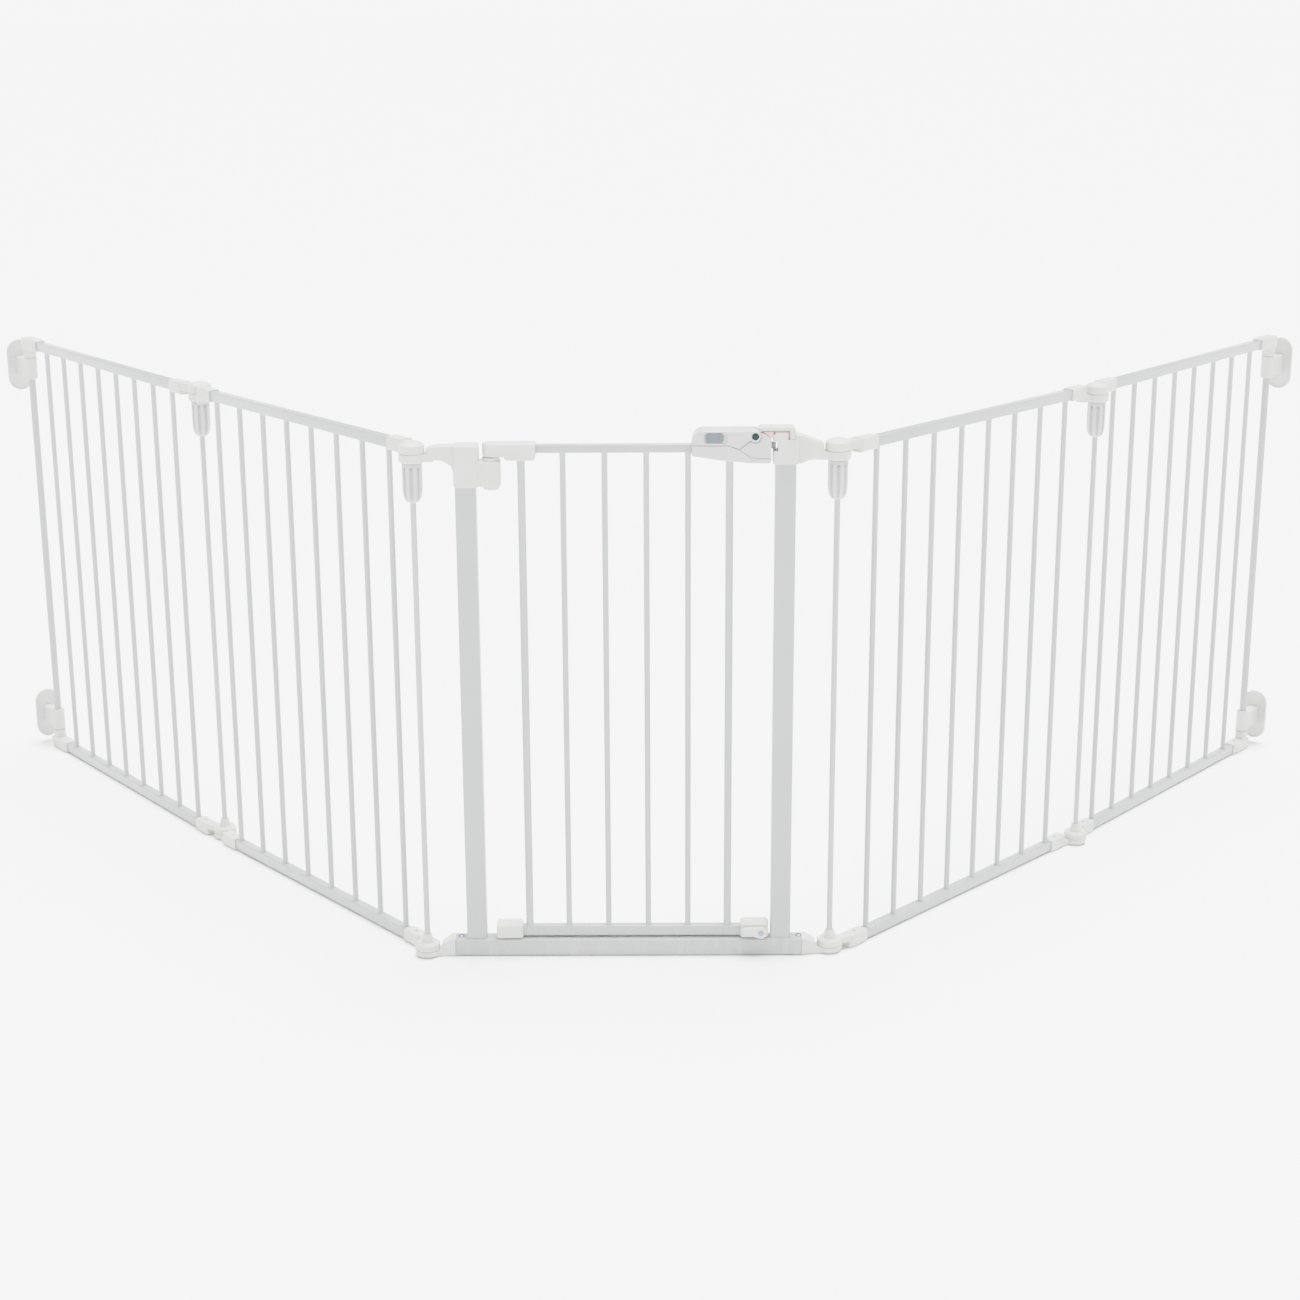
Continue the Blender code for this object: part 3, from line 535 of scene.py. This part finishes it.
def fluted_grip(node, body):
    low, high = (Vector(corner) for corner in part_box(node))
    centre = ((low.x + high.x) / 2, (low.y + high.y) / 2)
    foot, r = low.z, 13.8 * MM
    top = foot + 54.8 * MM
    outline = [(5.4 * MM, foot), (6.4 * MM, foot + 0.4 * MM), (9.4 * MM, foot + 2.4 * MM),
               (11.4 * MM, foot + 5.4 * MM), (12.7 * MM, foot + 9.5 * MM), (13.4 * MM, foot + 14.0 * MM),
               (r, foot + 19.0 * MM), (r, top - 9.8 * MM), (r, top - 9.0 * MM), (r, top - 5.4 * MM),
               (r, top - 5.0 * MM), (r - 0.5 * MM, top - 4.8 * MM), (r - 0.5 * MM, top - 4.3 * MM),
               (r, top - 4.1 * MM), (r, top - 0.9 * MM), (r - 0.9 * MM, top),
               (4.2 * MM, top), (4.2 * MM, high.z)]
    piece = turn_up(outline, 96, centre)
    piece.name = node + "_fluted"
    bpy.ops.object.mode_set(mode="OBJECT")
    for polygon in piece.data.polygons:
        polygon.select = False
    for edge in piece.data.edges:
        edge.select = False
    for level, share in ((0.55, 0.975), (0.75, 0.935), (0.90, 0.935)):
        for vert in piece.data.vertices:
            vert.select = groove_depth(vert.co, centre, foot, top) > level
        pull_in(piece, centre, share)
    settle(piece, 50)
    # Painted shade for the flutes, darkest in the notch at the top of each.
    paint_groove_shade(piece, centre, foot, top)
    dress(piece, body, GRIP, "grip_plastic", node)
    print(piece.name, "faces", len(piece.data.polygons))


for key in HEADING:
    fluted_grip(key + "_lock_grip", key + "_lock")

# %% [markdown]
# ## Screws in the sleeves
# A small screw goes down through each bottom sleeve into the rail. Its head sits in a round recess, with
# a cross driven into it, so it shows as a dark dot from above.

# %% A recessed cross-head screw
def cross_screw(name, place, body):
    """The head's top is below the sleeve's surface, at place."""
    x, y, z = place
    r = 2.2 * MM
    outline = [(r * 0.8, z - 0.5 * MM), (r, z - 0.4 * MM), (r, z - 0.12 * MM), (r * 0.85, z)]
    piece = turn_up(outline, 24, (x, y))
    piece.name = name
    bpy.ops.object.mode_set(mode="EDIT")
    bpy.context.tool_settings.mesh_select_mode = (False, False, True)
    bpy.ops.mesh.select_all(action="DESELECT")
    bpy.ops.object.mode_set(mode="OBJECT")
    for face in piece.data.polygons:
        face.select = face.normal.z > 0.9 and face.center.z > z - 0.05 * MM
    bpy.ops.object.mode_set(mode="EDIT")
    bpy.ops.mesh.inset(thickness=0.75 * MM)
    bpy.ops.transform.translate(value=(0.0, 0.0, -0.35 * MM))
    bpy.ops.object.mode_set(mode="OBJECT")
    settle(piece, 30)
    dress(piece, body, ZINC, "zinc_steel")
    return piece


SLEEVE_TOP = RAIL_Z[0] + 9.8 * MM
HOLE_INNER = (25.0 * MM + END_GAP - BAR_R - 3.0 * MM) / 2
made = []
for key in HEADING:
    ends = [("inner", HOLE_INNER, SLEEVE_TOP)]
    ends.append(("outer", PANEL_LENGTH - HOLE_INNER, SLEEVE_TOP) if key.endswith("inner")
                else ("corner", PANEL_LENGTH - 27.0 * MM, SLEEVE_TOP + 0.3 * MM))
    for end, along, top in ends:
        spot = panel_matrix(key) @ Vector((along, 0.0, top - 0.75 * MM))
        made.append(cross_screw(f"{key}_{end}_screw", spot, key + "_panel"))
print("sleeve screws:", len(made))

# %% [markdown]
# ## Rims on the wall plates
# Each wall plate has a raised rim round its front edge, which stiffens it. A rounded strip follows the
# plate's outline, a stadium: two half circles joined by straight sides.

# %% Plate rims
PLATE_FRONT = 46.0 * MM
PLATE_SIZE = (44.0 * MM, 88.0 * MM)
STRIP = 2.2 * MM


def plate_rim(side, row):
    node = f"{side}_outer_{row}_wall_bracket"
    z = sum(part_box(node)[i][2] for i in (0, 1)) / 2
    radius = PLATE_SIZE[0] / 2 - 1.0 * MM
    straight = PLATE_SIZE[1] / 2 - PLATE_SIZE[0] / 2
    points = []
    for i in range(33):
        a = math.pi * i / 32
        points.append((radius * math.cos(a), z + straight + radius * math.sin(a)))
    for i in range(33):
        a = math.pi * (1 + i / 32)
        points.append((radius * math.cos(a), z - straight + radius * math.sin(a)))
    clear_selection()
    bpy.ops.mesh.primitive_circle_add(vertices=len(points), radius=radius, location=(0.0, 0.0, 0.0))
    piece = bpy.context.object
    piece.name = f"{side}_{row}_plate_rim"
    for vert, (across, height) in zip(piece.data.vertices, points):
        vert.co = (PLATE_FRONT + 0.2 * MM, across, height)
    bpy.ops.object.mode_set(mode="EDIT")
    bpy.context.tool_settings.mesh_select_mode = (True, False, False)
    bpy.ops.mesh.select_all(action="SELECT")
    bpy.ops.mesh.extrude_region_move(TRANSFORM_OT_translate={"value": (-1.2 * MM, 0.0, 0.0)})
    bpy.ops.object.mode_set(mode="OBJECT")
    wall = piece.modifiers.new("wall", "SOLIDIFY")
    wall.thickness = STRIP
    wall.offset = 0.0
    soft = piece.modifiers.new("soft", "BEVEL")
    soft.width = 0.45 * MM
    soft.segments = 3
    soft.limit_method = "ANGLE"
    only(piece)
    for modifier in ("wall", "soft"):
        bpy.ops.object.modifier_apply(modifier=modifier)
    key = side + "_outer"
    piece.data.transform(panel_matrix(key) @ Matrix.Translation((PANEL_LENGTH, 0.0, 0.0)))
    settle(piece, 40)
    dress(piece, f"{side}_{row}_wall_bracket", WHITE, "white_plastic")
    return piece


rims = [plate_rim(side, row) for side in ("left", "right") for row in ("top", "bottom")]
print("rims:", [(rim.name, len(rim.data.polygons)) for rim in rims])

# %% [markdown]
# ## Painted shade under the hood
# Under the hood over the latch, a pink patch of painted shade and reflected light is put in as a thin sheet.
# Its lower edge slopes just above the shoulder of the housing, so the door can swing below it. A block cut
# once by a sloping plane has that shape.

# %% Painted hood shade
def painted_hood_patch():
    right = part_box("strike_bracket")[0][0] + 0.2 * MM
    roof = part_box("lock_indicator")[0]
    left, top = roof[0] + 1.6 * MM, 761.4 * MM
    piece = beam((left, -11.0 * MM, top - 8.4 * MM), (right, 11.0 * MM, top), 0.3 * MM, 2)
    only(piece)
    bpy.ops.object.mode_set(mode="EDIT")
    bpy.ops.mesh.select_all(action="SELECT")
    bpy.ops.mesh.bisect(plane_co=(left, 0.0, top), plane_no=(8.0, 0.0, 10.7), use_fill=True, clear_inner=True)
    bpy.ops.object.mode_set(mode="OBJECT")
    piece.name = "painted_hood_patch"
    settle(piece, 30)
    # The sheet is coloured as painted shade and pink reflected light.
    dress(piece, "frame", HOOD_SHADE_PAINT, "white_plastic")
    return piece


hood_patch = painted_hood_patch()
print(hood_patch.name, "faces", len(hood_patch.data.polygons))

# %% [markdown]
# ## Floor, light and camera
# The gate stands on a plain pale floor, whose far rim rises gently, so no horizon shows. A wide soft light
# overhead reaches the whole floor evenly, so the backdrop stays white while upright faces stay a little
# darker. A small light in front adds a gloss.

# %% Floor
clear_selection()
FLOOR_R = 300.0
RIM_WIDTH = 240.0
RIM_HEIGHT = 42.0
bpy.ops.mesh.primitive_circle_add(vertices=96, radius=FLOOR_R, fill_type="NGON", location=(0.0, 0.0, -0.0005))
floor = bpy.context.object
floor.name = "studio_floor"
bpy.ops.object.mode_set(mode="EDIT")
bpy.ops.mesh.select_all(action="SELECT")
bpy.ops.mesh.inset(thickness=RIM_WIDTH)
bpy.ops.object.mode_set(mode="OBJECT")
for vert in floor.data.vertices:
    if math.hypot(vert.co.x, vert.co.y) > FLOOR_R - RIM_WIDTH / 2:
        vert.co.z += RIM_HEIGHT
floor_finish = Finish("studio_floor")
tone = floor_finish.noise(1.5, 2.0)
floor_finish.set(Base_Color=floor_finish.blend(tone, (0.93, 0.93, 0.93, 1.0), (0.91, 0.91, 0.915, 1.0)),
                 Roughness=0.75 + tone * 0.1)
floor.data.materials.append(floor_finish.material)
print("floor size", floor.dimensions.x)


# %% Lights
def panel_light(name, place, aim, size, power):
    lamp = bpy.data.lights.new(name, "AREA")
    lamp.shape = "RECTANGLE"
    lamp.size, lamp.size_y = size
    lamp.energy = power
    obj = bpy.data.objects.new(name, lamp)
    bpy.context.collection.objects.link(obj)
    obj.location = place
    obj.rotation_euler = (Vector(aim) - Vector(place)).to_track_quat("-Z", "Y").to_euler()
    return obj


panel_light("front", (-1.6, -3.6, 2.6), (0.0, 0.3, 0.4), (2.4, 1.8), 22.0)
sky = bpy.data.lights.new("overhead", "SUN")
sky.energy = 26.0
sky.angle = math.radians(44.0)
overhead = bpy.data.objects.new("overhead", sky)
bpy.context.collection.objects.link(overhead)
overhead.rotation_euler = (math.radians(-7.0), math.radians(5.0), 0.0)
world = bpy.data.worlds.new("studio")
world.use_nodes = True
world.node_tree.nodes["Background"].inputs["Color"].default_value = (1.0, 1.0, 1.0, 1.0)
world.node_tree.nodes["Background"].inputs["Strength"].default_value = 0.75
bpy.context.scene.world = world

# %% Camera
lens = bpy.data.cameras.new("camera")
lens.sensor_width = 36.0
lens.lens = 64.66
camera = bpy.data.objects.new("camera", lens)
bpy.context.collection.objects.link(camera)
tilt = Matrix.Rotation(math.radians(90.0 - 16.38), 4, "X")
swing = Matrix.Rotation(math.radians(0.25), 4, "Z")
level = Matrix.Rotation(math.radians(-0.25), 4, "Z")
camera.matrix_world = Matrix.Translation((0.0459, -3.1025, 1.3652)) @ swing @ tilt @ level
bpy.context.scene.camera = camera
print("camera at", tuple(round(v, 3) for v in camera.location))
